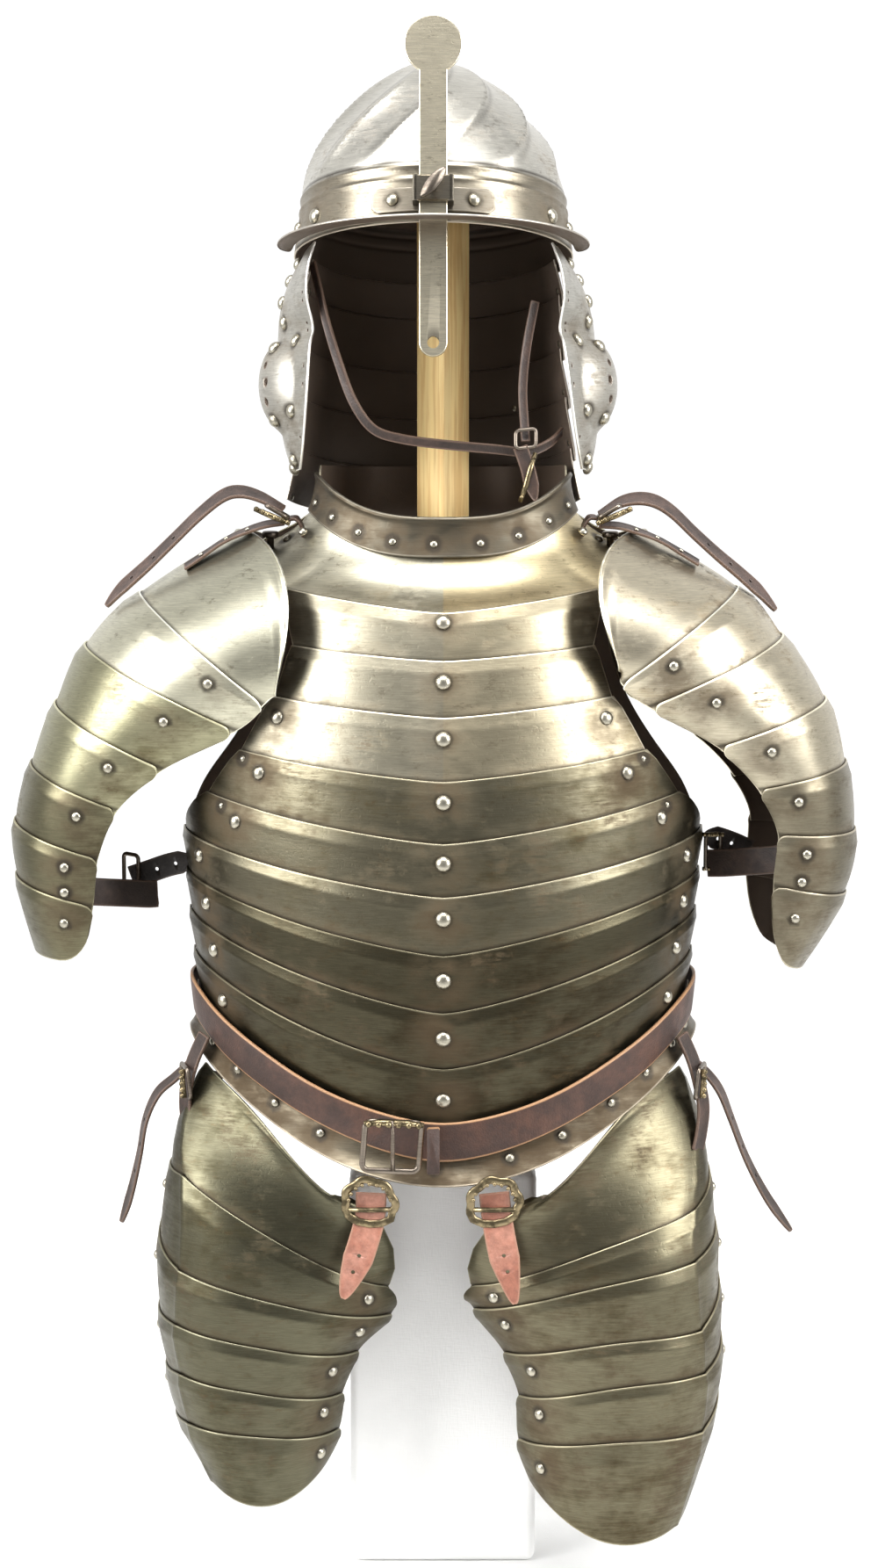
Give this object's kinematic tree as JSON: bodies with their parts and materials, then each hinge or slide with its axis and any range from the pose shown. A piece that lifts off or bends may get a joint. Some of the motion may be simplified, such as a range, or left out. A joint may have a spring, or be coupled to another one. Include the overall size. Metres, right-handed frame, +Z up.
{
  "type": "suit of plate armour on a wooden stand",
  "caption": "Plate armour on a wooden stand: lobster-tailed helmet with a sliding nasal bar, over a laminated cuirass with lamed pauldrons and tassets.",
  "frame": {"origin": "centre of the underside of the stand's board", "axes": "+Z up, the wearer faces -Y, +X to the viewer's right when seen from the front"},
  "size_m": [0.6378, 0.3111, 1.1559],
  "materials": {
    "steel": "old polished steel, warm grey, with fine scratches and brown rust marks along edges and rivets",
    "dark_steel": "dark unpolished steel, brown-black",
    "brown_leather": "worn dark brown leather",
    "red_leather": "faded pink-red leather",
    "wood": "planed pine, the column and board painted white"
  },
  "bodies": {
    "root": {"skull": "steel", "peak": "steel", "collar": "steel", "neck_plate": "steel", "breast_lame_1": "steel", "breast_lame_2": "steel", "breast_lame_3": "steel", "breast_lame_4": "steel", "breast_lame_5": "steel", "breast_lame_6": "steel", "breast_lame_7": "steel", "breast_lame_8": "steel", "breast_lame_9": "steel", "waist_flange": "steel", "backplate": "steel", "pauldron_left_lame_1": "steel", "pauldron_left_lame_2": "steel", "pauldron_left_lame_3": "steel", "pauldron_left_lame_4": "steel", "pauldron_left_lame_5": "steel", "pauldron_left_lame_6": "steel", "pauldron_left_lame_7": "steel", "pauldron_right_lame_1": "steel", "pauldron_right_lame_2": "steel", "pauldron_right_lame_3": "steel", "pauldron_right_lame_4": "steel", "pauldron_right_lame_5": "steel", "pauldron_right_lame_6": "steel", "pauldron_right_lame_7": "steel", "tasset_left_lame_1": "steel", "tasset_left_lame_2": "steel", "tasset_left_lame_3": "steel", "tasset_left_lame_4": "steel", "tasset_left_lame_5": "steel", "tasset_left_lame_6": "steel", "tasset_right_lame_1": "steel", "tasset_right_lame_2": "steel", "tasset_right_lame_3": "steel", "tasset_right_lame_4": "steel", "tasset_right_lame_5": "steel", "tasset_right_lame_6": "steel", "nasal_bracket": "dark_steel", "tail_lame_1": "dark_steel", "tail_lame_2": "dark_steel", "tail_lame_3": "dark_steel", "tail_lame_4": "dark_steel", "tail_lame_5": "dark_steel", "belt": "brown_leather", "chin_strap": "brown_leather", "shoulder_strap_left": "brown_leather", "shoulder_strap_right": "brown_leather", "tasset_strap_left": "brown_leather", "tasset_strap_right": "brown_leather", "tasset_tongue_left": "red_leather", "tasset_tongue_right": "red_leather", "stand": "wood"},
    "nasal": {"nasal_bar": "steel"},
    "screw": {"wing_screw": "dark_steel"},
    "cheek_left": {"cheek_left": "steel"},
    "cheek_right": {"cheek_right": "steel"}
  },
  "joints": [
    {"name": "nasal_slide", "type": "slide", "parent": "root", "child": "nasal", "axis": [0, 0.1219, 0.9925], "range_m": [-0.06, 0.1]},
    {"name": "wing_screw_turn", "type": "hinge", "parent": "root", "child": "screw", "pos_m": [-0.007, -0.1256, 1.0366], "axis": [0, -0.9925, 0.1219], "continuous": true},
    {"name": "cheek_left_swing", "type": "hinge", "parent": "root", "child": "cheek_left", "pos_m": [-0.104, 0, 1], "axis": [0, 0.9925, -0.1219], "range_deg": [0, 30]},
    {"name": "cheek_right_swing", "type": "hinge", "parent": "root", "child": "cheek_right", "pos_m": [0.09, 0, 1], "axis": [0, -0.9925, 0.1219], "range_deg": [0, 30]}
  ]
}
